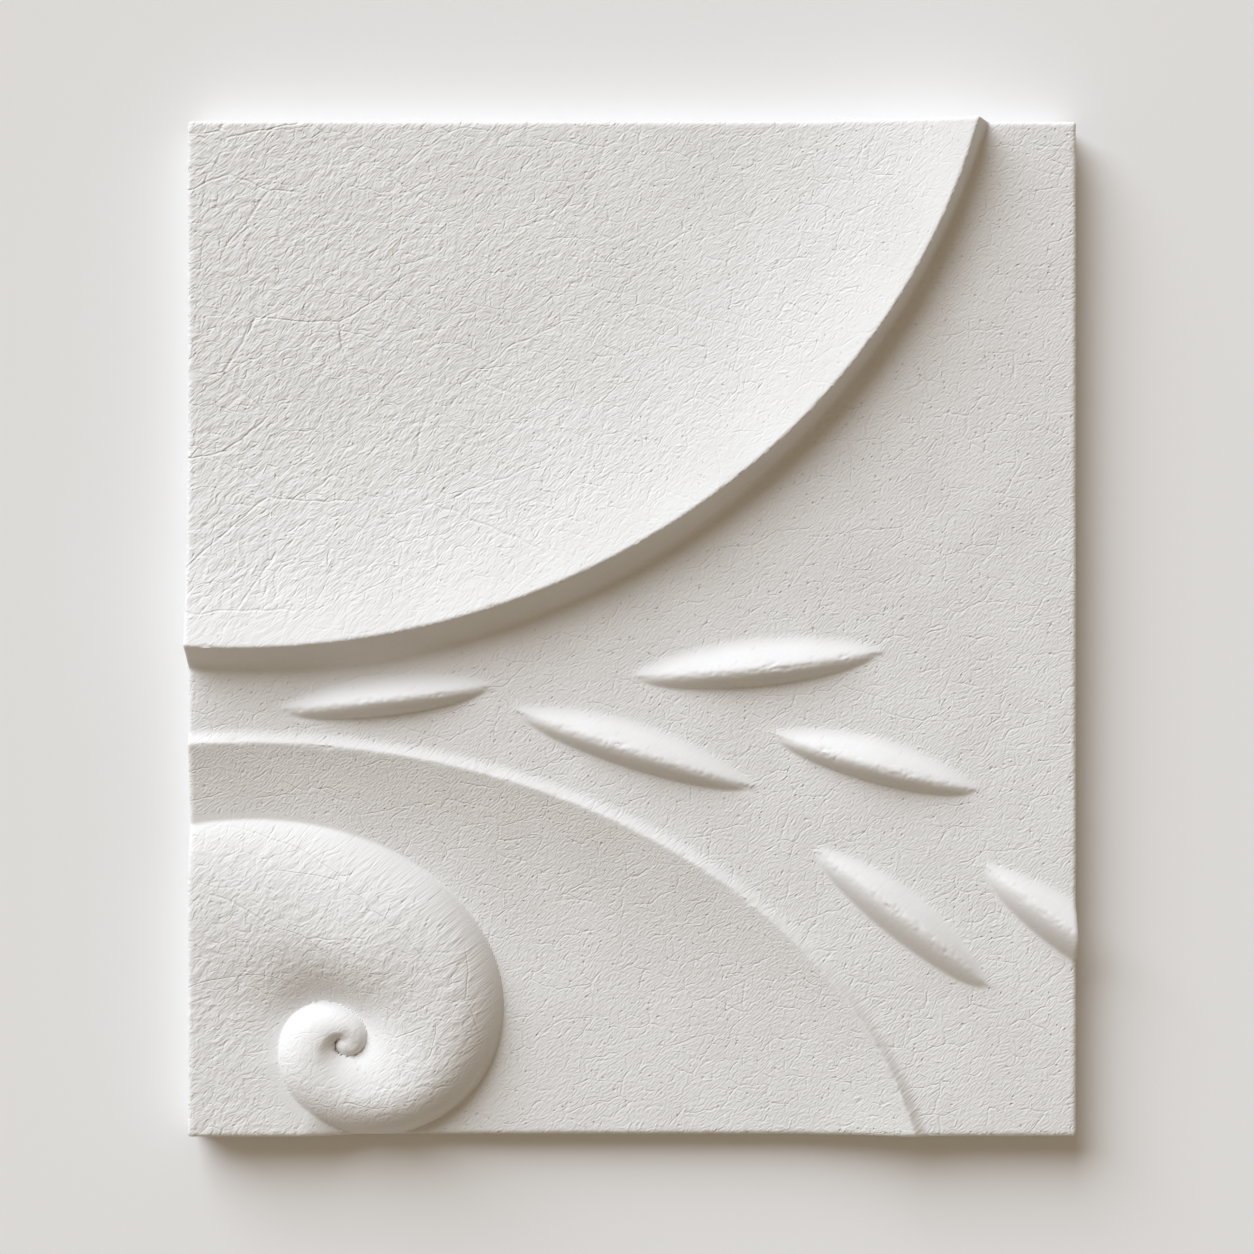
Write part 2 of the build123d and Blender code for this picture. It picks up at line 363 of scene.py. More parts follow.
def volute_height(x, y, volute):
    """Height of the roll above its field: across each turn a long inner flank and a round outer brow."""
    flank = bezier_curve(((0, 0), (volute.inner_ease, volute.inner_lift), (1 - volute.inner_ease, 1), (1, 1)))
    brow = bezier_curve(((0, 1), (volute.brow_ease, 1), (volute.brow_foot, volute.brow_ease), (1, 0)))
    radius, turns = windings(x, y, volute)
    pocket_x = (x - volute.pocket[0]) / volute.pocket_radii[0]
    pocket_y = (y - volute.pocket[1]) / volute.pocket_radii[1]
    pocket = volute.pocket_depth * np.exp(-(pocket_x**2) - pocket_y**2)
    height = np.zeros_like(radius)
    for turned in turns:
        outer = spiral_radius(turned, volute) - 0.0001
        inner = spiral_radius(turned + 360, volute) * volute.tuck
        lean = np.cos(np.radians(volute.start_angle - turned - volute.lean_angle))
        wound = np.radians(np.maximum(turned, 0))
        tail = np.radians(np.maximum(-turned, 0))
        share = volute.crest_share - volute.crest_lean * lean - volute.crest_drift * wound
        crest = inner + (outer - inner) * np.maximum(share, volute.crest_least)
        start = np.clip((volute.tail + turned) / volute.tail_ramp, 0, 1)
        way = np.clip((turned - volute.rise_start) / volute.rise_turn, 0, 1)
        level = volute.tail_level + (1 - volute.tail_level) * way**2 * (3 - 2 * way)
        top = volute.height * start**2 * (3 - 2 * start) * level * np.exp(-volute.height_decay * wound)
        dip = np.minimum(volute.dip + volute.dip_growth * np.radians(turned), volute.dip_limit)
        dip = np.minimum(dip + volute.tail_dip * tail, volute.tail_dip_limit)
        inside = dip + (1 - dip) * np.interp((radius - inner) / (crest - inner), *flank)
        outside = np.interp((radius - crest) / (outer - crest), *brow)
        section = top * np.where(radius < crest, inside, outside)
        section = section - np.where(turned < 180, pocket, 0)
        here = (radius > inner) & (radius < outer) & (turned > -volute.tail) & (turned < volute.winding)
        height = np.maximum(height, np.where(here, section, 0))
    from_ball = np.hypot(x - volute.ball[0], y - volute.ball[1])
    ball = volute.ball_top - volute.ball_radius + np.sqrt(np.maximum(volute.ball_radius**2 - from_ball**2, 0))
    return np.maximum(height, np.where(from_ball < volute.ball_radius, ball, 0))


def volute_distance(x, y, volute):
    """Distance across the nearest turn of the roll's outline."""
    radius, turns = windings(x, y, volute)
    nearest = np.full_like(radius, FAR)
    for turned in turns:
        across = radius - spiral_radius(turned, volute)
        across = np.where((turned > -5) & (turned < volute.winding), across, FAR)
        nearest = np.where(np.abs(across) < np.abs(nearest), across, nearest)
    return nearest


def leaf_frame(x, y, leaf):
    """Places along a leaf and across it from its sagging ridge, its half length and its width there."""
    start = np.array(leaf[0])
    end = np.array(leaf[1])
    upper_width, lower_width, sag = leaf[2:]
    half_length = np.hypot(*(end - start)) / 2
    along = (end - start) / (2 * half_length)
    middle = (start + end) / 2
    u = (x - middle[0]) * along[0] + (y - middle[1]) * along[1]
    v = (y - middle[1]) * along[0] - (x - middle[0]) * along[1]
    v = v + sag * np.maximum(1 - (u / half_length) ** 2, 0)
    return u, v, half_length, np.where(v > 0, upper_width, lower_width)


def leaf_height(x, y, leaf, leaves):
    """Height above the ground of a gothic section turned about a cross axis below the ground."""
    u, v, half_length, width = leaf_frame(x, y, leaf)
    arc = (half_length**2 + leaves.height**2) / (2 * leaves.height)
    radius = leaves.ridge_radius
    bulge = np.where(v > 0, leaves.upper_bulge, leaves.lower_bulge)
    side = (np.hypot(v, radius) - radius) / (np.hypot(width, radius) - radius)
    fall = leaves.height * ((1 - bulge) * side + bulge * side**2)
    reach = np.maximum(arc - fall, 0)
    return np.sqrt(np.maximum(reach**2 - u**2, 0)) - (arc - leaves.height)


def leaf_outline_distance(x, y, leaf, leaves):
    """Distance outside a leaf's outline on the ground."""
    u, v, half_length, width = leaf_frame(x, y, leaf)
    arc = (half_length**2 + leaves.height**2) / (2 * leaves.height)
    fall = (arc - np.hypot(arc - leaves.height, u)) / leaves.height
    radius = leaves.ridge_radius
    bulge = np.where(v > 0, leaves.upper_bulge, leaves.lower_bulge)
    side = (np.sqrt((1 - bulge) ** 2 + 4 * bulge * np.maximum(fall, 0)) - (1 - bulge)) / (2 * bulge)
    edge = side * (np.hypot(width, radius) - radius) + radius
    return np.where(np.abs(u) < half_length, np.abs(v) - np.sqrt(edge**2 - radius**2), FAR)


def leaf_ridge_distance(x, y, leaf):
    """Distance across a leaf's ridge."""
    u, v, half_length, _ = leaf_frame(x, y, leaf)
    return np.where(np.abs(u) < half_length, v, FAR)


def hollow_level(inset, run, rim_level, floor_level):
    """Dish flank: a power of the way from its floor to its rim, level on the floor."""
    rise = np.maximum(1 - inset / run, 0)
    return floor_level + (rim_level - floor_level) * rise**HOLLOW_POWER


def ellipse_run(x, y, centre, radii):
    """Distance round an ellipse, near enough: the angle about its centre times its mean radius."""
    return np.arctan2((y - centre[1]) / radii[1], (x - centre[0]) / radii[0]) * (radii[0] + radii[1]) / 2


def chips(along, across, chip, least, seed):
    """Depth of broken crumbs on a line: the high parts of two noises drawn out along it, in groups."""
    reach, depth = chip
    group = np.clip(0.45 + 1.1 * noise(along, 0 * along, CRUMB_GROUP, seed + 2), least, 1)
    flakes = np.maximum(noise(along / FLAKE[0], across, FLAKE[1], seed), 0)
    crumbs = np.maximum(noise(along / CRUMB[0], across, CRUMB[1], seed + 1), 0)
    return depth * group * (flakes + 0.6 * crumbs) * np.exp(-((across / reach) ** 2))


def fading(distance, share_and_reach, power=2):
    """Share that falls away on both sides of a line, as a bell does, over the given reach."""
    share, reach = share_and_reach
    return share * np.exp(-(np.abs(distance / reach) ** power))


def calm_share(x, y, scene):
    """How smoothly each place was rubbed, 0 to 1: most on sides, walls, leaf flanks and brows."""
    rubbing = scene.relief_rubbing
    roundel = scene.relief_roundel
    field = scene.relief_field
    rim = ellipse_distance(x, y, roundel.rim_centre, roundel.rim_radii)
    foot = ellipse_distance(x, y, roundel.foot_centre, roundel.foot_radii)
    calm = np.where(rim < 0, fading(rim, rubbing.rim), np.where(foot < 0, rubbing.wall, 0))
    calm = np.maximum(calm, np.where(foot > 0, fading(foot, rubbing.foot), 0))
    crest = ellipse_distance(x, y, field.centre, field.crest_radii)
    calm = np.maximum(calm, fading(crest, rubbing.crest))
    volute = scene.relief_volute
    brow = volute_distance(x, y, volute)
    calm = np.maximum(calm, np.where(brow < 0, fading(brow, rubbing.brow), 0))
    calm = np.maximum(calm, np.where(volute_height(x, y, volute) > ROLL_START, rubbing.roll, 0))
    from_eye = np.hypot(x - volute.eye[0], y - volute.eye[1])
    calm = np.maximum(calm, fading(from_eye, rubbing.curl, power=4))
    for leaf in LEAVES:
        outline = leaf_outline_distance(x, y, leaf, scene.relief_leaves)
        calm = np.maximum(calm, np.clip(rubbing.leaf[0] - outline / rubbing.leaf[1], 0, rubbing.leaf[0]))
    inset = np.minimum(PANEL_HALF_WIDTH - np.abs(x), PANEL_HALF_HEIGHT - np.abs(y))
    return np.where(inset < 1e-5, np.maximum(calm, rubbing.side), calm)


def coarse_share(x, y, scene):
    """How lumpy each place is, 0 to 1: most on the scroll and the left of the dish."""
    rubbing = scene.relief_rubbing
    roundel = scene.relief_roundel
    rim = ellipse_distance(x, y, roundel.rim_centre, roundel.rim_radii)
    left = np.clip((rubbing.dish_span[0] - x) / rubbing.dish_span[1], 0, 1)
    coarse = np.where(rim < 0, rubbing.dish_lumps + (1 - rubbing.dish_lumps) * left, rubbing.ground_lumps)
    brow = volute_distance(x, y, scene.relief_volute)
    on_roll = volute_height(x, y, scene.relief_volute) > ROLL_START
    return np.where(on_roll, 1 - fading(brow, rubbing.brow_smooth), coarse)


def painted_light_share(x, y, scene):
    """Painted light, 0 to 1: the dish, made lighter in colour to stand in for light, with a soft change at
    its rim.
    """
    roundel = scene.relief_roundel
    return np.clip(0.5 - ellipse_distance(x, y, roundel.rim_centre, roundel.rim_radii) / 0.004, 0, 1)


def flow_places(x, y, scene):
    """Places along and across the grain: round the scroll's turns, and slantwise everywhere else."""
    rubbing = scene.relief_rubbing
    volute = scene.relief_volute
    slant = radians(rubbing.slant)
    along = x * np.cos(slant) + y * np.sin(slant)
    across = y * np.cos(slant) - x * np.sin(slant)
    radius, turns = windings(x, y, volute)
    for turned in turns:
        outer = spiral_radius(turned, volute)
        inner = spiral_radius(turned + 360, volute)
        here = (radius > inner) & (radius < outer) & (turned > -90) & (turned < volute.winding)
        along = np.where(here, np.radians(turned) * rubbing.scroll_pace, along)
        across = np.where(here, (outer - radius) * rubbing.scroll_spread, across)
    return np.stack((along, across, np.zeros_like(x)), axis=1)


def face_height(x, y, scene):
    """Height of the face above the back, form by form, each blended into what it stands on."""
    panel = scene.relief_panel
    roundel = scene.relief_roundel
    field = scene.relief_field
    wear = scene.relief_wear
    ground = panel.ground_level + wear.waviness * (noise(x, y, 0.055, 1) + 0.4 * noise(x, y, 0.021, 2))

    crest = ellipse_distance(x, y, field.centre, field.crest_radii)
    sunk = hollow_level(-crest - field.lip, field.hollow_run, field.crest_level, field.floor_level)
    sunk = sunk + 0.83 * wear.waviness * noise(x, y, 0.050, 3)
    bevel = field.crest_level - crest * (field.crest_level - panel.ground_level) / field.bevel_run
    rolled = soft_min(np.where(crest < 0.004, sunk, FAR), bevel, wear.crest_round)
    along = ellipse_run(x, y, field.centre, field.crest_radii)
    rolled = rolled - chips(along, crest, wear.crest_chip, 0.1, 13)
    height = np.where(crest < -field.lip, rolled, soft_max(rolled, ground, wear.crest_fillet))

    roll = field.floor_level + volute_height(x, y, scene.relief_volute)
    height = np.where(crest < 0, soft_max(roll, height, wear.roll_fillet), height)

    rim = ellipse_distance(x, y, roundel.rim_centre, roundel.rim_radii)
    foot = ellipse_distance(x, y, roundel.foot_centre, roundel.foot_radii)
    down = rim / np.maximum(rim - foot, 0.002)
    wall = roundel.rim_level + (panel.ground_level - roundel.rim_level) * down
    dish = hollow_level(-rim - roundel.lip, roundel.hollow_run, roundel.rim_level, roundel.floor_level)
    dish = dish + wear.waviness * noise(x, y, 0.060, 4) * np.clip(-rim / 0.05, 0, 1)
    disc = soft_min(np.where(rim < 0.004, dish, FAR), np.where(rim > -0.004, wall, FAR), wear.rim_round)
    along = ellipse_run(x, y, roundel.rim_centre, roundel.rim_radii)
    disc = disc - chips(along, rim, wear.rim_chip, 0.2, 11)
    height = np.where(rim < 0, disc, soft_max(disc, height, wear.rim_fillet))

    leaves = scene.relief_leaves
    for leaf in LEAVES:
        u, v, half_length, _ = leaf_frame(x, y, leaf)
        ridge = panel.ground_level + leaf_height(x, y, leaf, leaves)
        crumbs = chips(u + leaf[0][0], v, wear.leaf_chip, 0.45, 15)
        ridge = ridge - crumbs * np.clip(1.3 - (u / half_length) ** 2, 0, 1)
        height = soft_max(ridge, height, np.where(v > 0, leaves.upper_foot, leaves.lower_foot))
    return np.minimum(height, roundel.rim_level)


def feature_curves(scene):
    """Distance functions of the lines that the mesh follows, each with its band of fine cells."""
    roundel = scene.relief_roundel
    field = scene.relief_field
    volute = scene.relief_volute
    leaves = scene.relief_leaves
    bevel_radii = [radius + field.bevel_run for radius in field.crest_radii]
    curves = [
        (lambda x, y: ellipse_distance(x, y, roundel.rim_centre, roundel.rim_radii), 0.007),
        (lambda x, y: ellipse_distance(x, y, roundel.foot_centre, roundel.foot_radii), 0.008),
        (lambda x, y: ellipse_distance(x, y, field.centre, field.crest_radii), 0.006),
        (lambda x, y: ellipse_distance(x, y, field.centre, bevel_radii), 0.005),
        (lambda x, y: volute_distance(x, y, volute), 0.010),
    ]
    for leaf in LEAVES:
        curves.append((lambda x, y, leaf=leaf: leaf_ridge_distance(x, y, leaf), 0.008))
        curves.append((lambda x, y, leaf=leaf: leaf_outline_distance(x, y, leaf, leaves), 0.007))
    return curves


def edge_lines(half, count, band):
    """Grid lines from edge to edge: even, but closing up to each edge as the angles of a rounding do."""
    even = np.linspace(-half, half, count + 1)
    inset = half - np.abs(even)
    inset = np.where(inset < band, band * (1 - np.cos(np.pi / 2 * inset / band)), inset)
    return np.sign(even) * (half - inset)


def pull_to_curves(x, y, scene, cell, band):
    """Moves the points within half a cell of a feature line onto it, and numbers the line they are on."""
    nudge = 1e-5
    line = np.zeros(x.shape, dtype=np.int32)
    at_side = np.abs(x) > PANEL_HALF_WIDTH - band * 1.01
    at_end = np.abs(y) > PANEL_HALF_HEIGHT - band * 1.01
    for curve, (distance, _) in enumerate(feature_curves(scene), start=1):
        slope_x = (distance(x + nudge, y) - distance(x - nudge, y)) / (2 * nudge)
        slope_y = (distance(x, y + nudge) - distance(x, y - nudge)) / (2 * nudge)
        slope_x = np.where(at_side, 0, slope_x)
        slope_y = np.where(at_end, 0, slope_y)
        steep = slope_x**2 + slope_y**2
        step = -distance(x, y) / np.maximum(steep, 0.04)
        near = (np.abs(step) * np.sqrt(steep) < 0.52 * cell) & (line == 0) & (steep < 4)
        near &= ~(at_side & at_end)
        x = np.where(near, x + step * slope_x, x)
        y = np.where(near, y + step * slope_y, y)
        line = np.where(near, curve, line)
    return x, y, line


def fine_cells(scene, columns, rows):
    """True for the coarse cells that are split: those along the edges and near a feature line."""
    x = (columns[:-1] + columns[1:])[:, None] / 2 + np.zeros(len(rows) - 1)[None, :]
    y = (rows[:-1] + rows[1:])[None, :] / 2 + np.zeros(len(columns) - 1)[:, None]
    split = np.zeros(x.shape, dtype=bool)
    for distance, band in feature_curves(scene):
        split |= np.abs(distance(x, y)) < band
    split[[0, -1], :] = True
    split[:, [0, -1]] = True
    return split


def quad_triangles(a, b, c, d, line, z):
    """Two triangles for each quad, cut along the feature line on it, or else along the flatter diagonal."""
    flat = np.abs(z[a] - z[c]) <= np.abs(z[b] - z[d])
    first = (line[a] > 0) & (line[a] == line[c])
    second = (line[b] > 0) & (line[b] == line[d])
    by_ac = np.where(first, True, np.where(second, False, flat))[:, None]
    one = np.where(by_ac, np.stack((a, b, c), 1), np.stack((a, b, d), 1))
    two = np.where(by_ac, np.stack((a, c, d), 1), np.stack((b, c, d), 1))
    return np.concatenate((one, two))


def fan_triangles(hub, border):
    """Triangles from each hub to the successive points of its border, given as columns of an array."""
    after = np.roll(border, -1, axis=1)
    hubs = np.broadcast_to(hub[:, None], border.shape)
    corners = np.stack((hubs, border, after), axis=-1).reshape(-1, 3)
    return corners[corners[:, 1] != corners[:, 2]]


def relief_surface(scene):
    """Points and triangles of the closed panel.

    The face is a height over a grid of coarse cells, with the cells near a feature line split into
    fine ones and fans between the two sizes. The sides are the grid's border carried down in rings,
    and the back is one flat face.
    """
    panel = scene.relief_panel
    splits = panel.splits
    across = panel.cells_across * splits
    up = panel.cells_up * splits
    cell = 2 * PANEL_HALF_WIDTH / across
    band = splits * cell
    columns = edge_lines(PANEL_HALF_WIDTH, across, band)
    rows = edge_lines(PANEL_HALF_HEIGHT, up, band)
    x = columns[:, None] + np.zeros_like(rows)[None, :]
    y = rows[None, :] + np.zeros_like(columns)[:, None]
    x, y, line = pull_to_curves(x, y, scene, cell, band)
    z = face_height(x, y, scene)
    x, y, z = worn_edges(x, y, z, panel)

    index = np.arange(x.size).reshape(x.shape)
    line = line.ravel()
    points = np.stack((x.ravel(), y.ravel(), z.ravel()), axis=1)
    split = fine_cells(scene, columns[::splits], rows[::splits])
    fine = np.repeat(np.repeat(split, splits, axis=0), splits, axis=1)
    a = index[:-1, :-1][fine]
    b = index[1:, :-1][fine]
    c = index[1:, 1:][fine]
    d = index[:-1, 1:][fine]
    triangles = [quad_triangles(a, b, c, d, line, points[:, 2])]

    padded = np.pad(split, 1)
    beside = padded[1:-1, :-2] | padded[2:, 1:-1] | padded[1:-1, 2:] | padded[:-2, 1:-1]
    i, j = np.nonzero(~split & ~beside)
    i = i * splits
    j = j * splits
    corners = [index[i, j], index[i + splits, j], index[i + splits, j + splits], index[i, j + splits]]
    triangles.append(quad_triangles(*corners, line, points[:, 2]))

    i, j = np.nonzero(~split & beside)
    hub = index[i * splits + splits // 2, j * splits + splits // 2]
    border = []
    sides = (
        (padded[i + 1, j], [(k, 0) for k in range(splits)]),
        (padded[i + 2, j + 1], [(splits, k) for k in range(splits)]),
        (padded[i + 1, j + 2], [(splits - k, splits) for k in range(splits)]),
        (padded[i, j + 1], [(0, splits - k) for k in range(splits)]),
    )
    for fine_side, steps in sides:
        start = index[i * splits + steps[0][0], j * splits + steps[0][1]]
        for step_i, step_j in steps:
            border.append(np.where(fine_side, index[i * splits + step_i, j * splits + step_j], start))
    triangles.append(fan_triangles(hub, np.stack(border, axis=1)))

    loop = np.concatenate((index[:, 0], index[-1, 1:], index[-2::-1, -1], index[0, -2:0:-1]))
    return close_sides(points, np.concatenate(triangles), loop, panel)


def worn_edges(x, y, z, panel):
    """Rounds the standing corners and the face's outer edges, more in some places than in others."""
    radius = panel.corner_radius
    over_x = np.maximum(np.abs(x) - (PANEL_HALF_WIDTH - radius), 0)
    over_y = np.maximum(np.abs(y) - (PANEL_HALF_HEIGHT - radius), 0)
    reach = np.hypot(over_x, over_y)
    keep = np.where(reach > radius, radius / np.maximum(reach, 1e-9), 1)
    x = np.where(over_y > 0, np.sign(x) * (np.abs(x) - over_x * (1 - keep)), x)
    y = np.where(over_x > 0, np.sign(y) * (np.abs(y) - over_y * (1 - keep)), y)
    inset = np.minimum(PANEL_HALF_WIDTH - np.abs(x), PANEL_HALF_HEIGHT - np.abs(y))
    wear = panel.edge_round * (1 + 0.12 * noise(x, y, 0.030, 7) + 0.25 * noise(x, y, 0.008, 8))
    short = np.clip(1 - inset / wear, 0, 1)
    z = z - wear * (1 - np.sqrt(1 - short**2))
    return x, y, z


def close_sides(points, triangles, loop, panel):
    """Adds the sides, as rings below the face's border, and the back; drops the points not used."""
    top = points[loop]
    inward = np.stack((-np.sign(top[:, 0]), -np.sign(top[:, 1])), axis=1)
    at_side = np.abs(top[:, 0]) > PANEL_HALF_WIDTH - panel.corner_radius
    at_end = np.abs(top[:, 1]) > PANEL_HALF_HEIGHT - panel.corner_radius
    inward = inward * np.stack((at_side, at_end), axis=1)
    rings = [loop]
    bevel = panel.back_chamfer
    start = len(points)
    for low, share, inset in ((bevel, 0.55, 0.0), (bevel, 0.0, 0.0), (0.0, 0.0, bevel)):
        ring = top.copy()
        ring[:, 2] = low + (top[:, 2] - low) * share
        ring[:, :2] += inward * inset
        points = np.concatenate((points, ring))
        rings.append(np.arange(start, start + len(loop)))
        start += len(loop)
    walls = []
    for upper, lower in zip(rings[:-1], rings[1:]):
        upper_next = np.roll(upper, -1)
        lower_next = np.roll(lower, -1)
        walls.append(np.stack((upper, lower, lower_next), axis=1))
        walls.append(np.stack((upper, lower_next, upper_next), axis=1))
    triangles = np.concatenate([triangles] + walls)
    back = rings[-1][::-1]
    used = np.unique(np.concatenate((triangles.ravel(), back)))
    renumber = np.zeros(len(points), dtype=np.int64)
    renumber[used] = np.arange(len(used))
    return points[used], renumber[triangles], renumber[back]


def closed_mesh(name, points, triangles, back):
    """Mesh of triangles and one many-sided back face, smooth except across sharp folds."""
    mesh = bpy.data.meshes.new(name)
    mesh.vertices.add(len(points))
    mesh.vertices.foreach_set("co", points.astype(np.float32).ravel())
    corners = np.concatenate((triangles.ravel(), back)).astype(np.int32)
    mesh.loops.add(len(corners))
    mesh.loops.foreach_set("vertex_index", corners)
    mesh.polygons.add(len(triangles) + 1)
    starts = np.arange(len(triangles) + 1, dtype=np.int32) * 3
    mesh.polygons.foreach_set("loop_start", starts)
    mesh.polygons.foreach_set("use_smooth", np.ones(len(triangles) + 1, dtype=bool))
    mesh.update(calc_edges=True)
    if mesh.validate():
        raise RuntimeError("The faces of the relief don't make a sound mesh")
    mesh.set_sharp_from_angle(angle=radians(48))
    return mesh


def add_node(tree, kind, settings=None, **values):
    """New shader node with these settings, and with these values or links on its inputs."""
    node = tree.nodes.new(kind)
    for key, value in (settings or {}).items():
        setattr(node, key, value)
    for key, value in values.items():
        socket = node.inputs[int(key[1:])] if key[0] == "i" and key[1:].isdigit() else node.inputs[key]
        if isinstance(value, bpy.types.NodeSocket):
            tree.links.new(value, socket)
        else:
            socket.default_value = value
    return node


def calculate(tree, operation, first, second=0.0, third=0.0):
    """Output of a math node."""
    settings = {"operation": operation}
    return add_node(tree, "ShaderNodeMath", settings, i0=first, i1=second, i2=third).outputs[0]


def ramp(tree, value, low, high, to_low=0.0, to_high=1.0):
    """Output of a clamped map from one range to another."""
    node = add_node(
        tree,
        "ShaderNodeMapRange",
        {"interpolation_type": "SMOOTHSTEP"},
        Value=value,
        **{"From Min": low, "From Max": high, "To Min": to_low, "To Max": to_high},
    )
    return node.outputs["Result"]


def cloud(tree, vector, scale, detail=0.0):
    """Output of a noise, about a half on average; scale is waves for each metre."""
    node = add_node(tree, "ShaderNodeTexNoise", {"noise_dimensions": "2D"}, Vector=vector)
    node.inputs["Scale"].default_value = scale
    node.inputs["Detail"].default_value = detail
    node.inputs["Roughness"].default_value = 0.55
    return node.outputs["Fac"]


def drawn_out(tree, vector, angle, stretch):
    """Coordinates stretched along one bearing in the plane of the face."""
    settings = {"vector_type": "TEXTURE"}
    node = add_node(tree, "ShaderNodeMapping", settings, Vector=vector)
    node.inputs["Rotation"].default_value = (0, 0, radians(angle))
    node.inputs["Scale"].default_value = (stretch, 1, 1)
    return node.outputs["Vector"]


def moved(tree, vector, offset):
    """Coordinates moved aside, so that one noise can be used again as another."""
    node = add_node(tree, "ShaderNodeMapping", None, Vector=vector)
    node.inputs["Location"].default_value = offset
    return node.outputs["Vector"]


def crack_net(tree, vector, scale, half_width, cut):
    """Thin lines between the cells of a net, shown in the patches where a noise is high."""
    settings = {"feature": "DISTANCE_TO_EDGE", "voronoi_dimensions": "2D"}
    net = add_node(tree, "ShaderNodeTexVoronoi", settings, Vector=vector, Scale=scale).outputs["Distance"]
    line = ramp(tree, net, 0.0, half_width * scale, 1.0, 0.0)
    patch = ramp(tree, cloud(tree, moved(tree, vector, (2.3, 0.9, 0.7)), scale * 1.1), cut, cut + 0.1)
    return calculate(tree, "MULTIPLY", line, patch)


def strokes(tree, vector, scale, half_length, half_width, spread):
    """Separate short strokes, one to a cell, each with its own bearing and depth; a few are raised."""
    cell = add_node(tree, "ShaderNodeTexVoronoi", {"voronoi_dimensions": "2D"}, Vector=vector, Scale=scale)
    chance = add_node(tree, "ShaderNodeSeparateColor", None, Color=cell.outputs["Color"]).outputs
    local = add_node(
        tree, "ShaderNodeVectorMath", {"operation": "SUBTRACT"}, i0=vector, i1=cell.outputs["Position"]
    ).outputs[0]
    least = -radians(STROKE_BEARING + spread / 2)
    bearing = calculate(tree, "MULTIPLY_ADD", chance[0], radians(spread), least)
    faced = add_node(
        tree, "ShaderNodeVectorRotate", {"rotation_type": "Z_AXIS"}, Vector=local, Angle=bearing
    ).outputs[0]
    settings = {"operation": "MULTIPLY"}
    drawn = add_node(
        tree, "ShaderNodeVectorMath", settings, i0=faced, i1=(1 / half_length, 1 / half_width, 0.0)
    ).outputs[0]
    size = add_node(tree, "ShaderNodeVectorMath", {"operation": "LENGTH"}, i0=drawn).outputs["Value"]
    mark = ramp(tree, size, 0.0, 1.0, 1.0, 0.0)
    return calculate(tree, "MULTIPLY", mark, ramp(tree, chance[1], 0.0, 1.0, 1.0, -0.8))


def warped(tree, vector, scale, amount):
    """Coordinates pushed about in the plane of the face by a noise of this scale."""
    push = add_node(tree, "ShaderNodeTexNoise", {"noise_dimensions": "2D"}, Vector=vector)
    push.inputs["Scale"].default_value = scale
    push.inputs["Detail"].default_value = 0.0
    settings = {"operation": "MULTIPLY_ADD"}
    reach = (amount, amount, 0.0)
    return add_node(
        tree, "ShaderNodeVectorMath", settings, i0=push.outputs["Color"], i1=reach, i2=vector
    ).outputs[0]


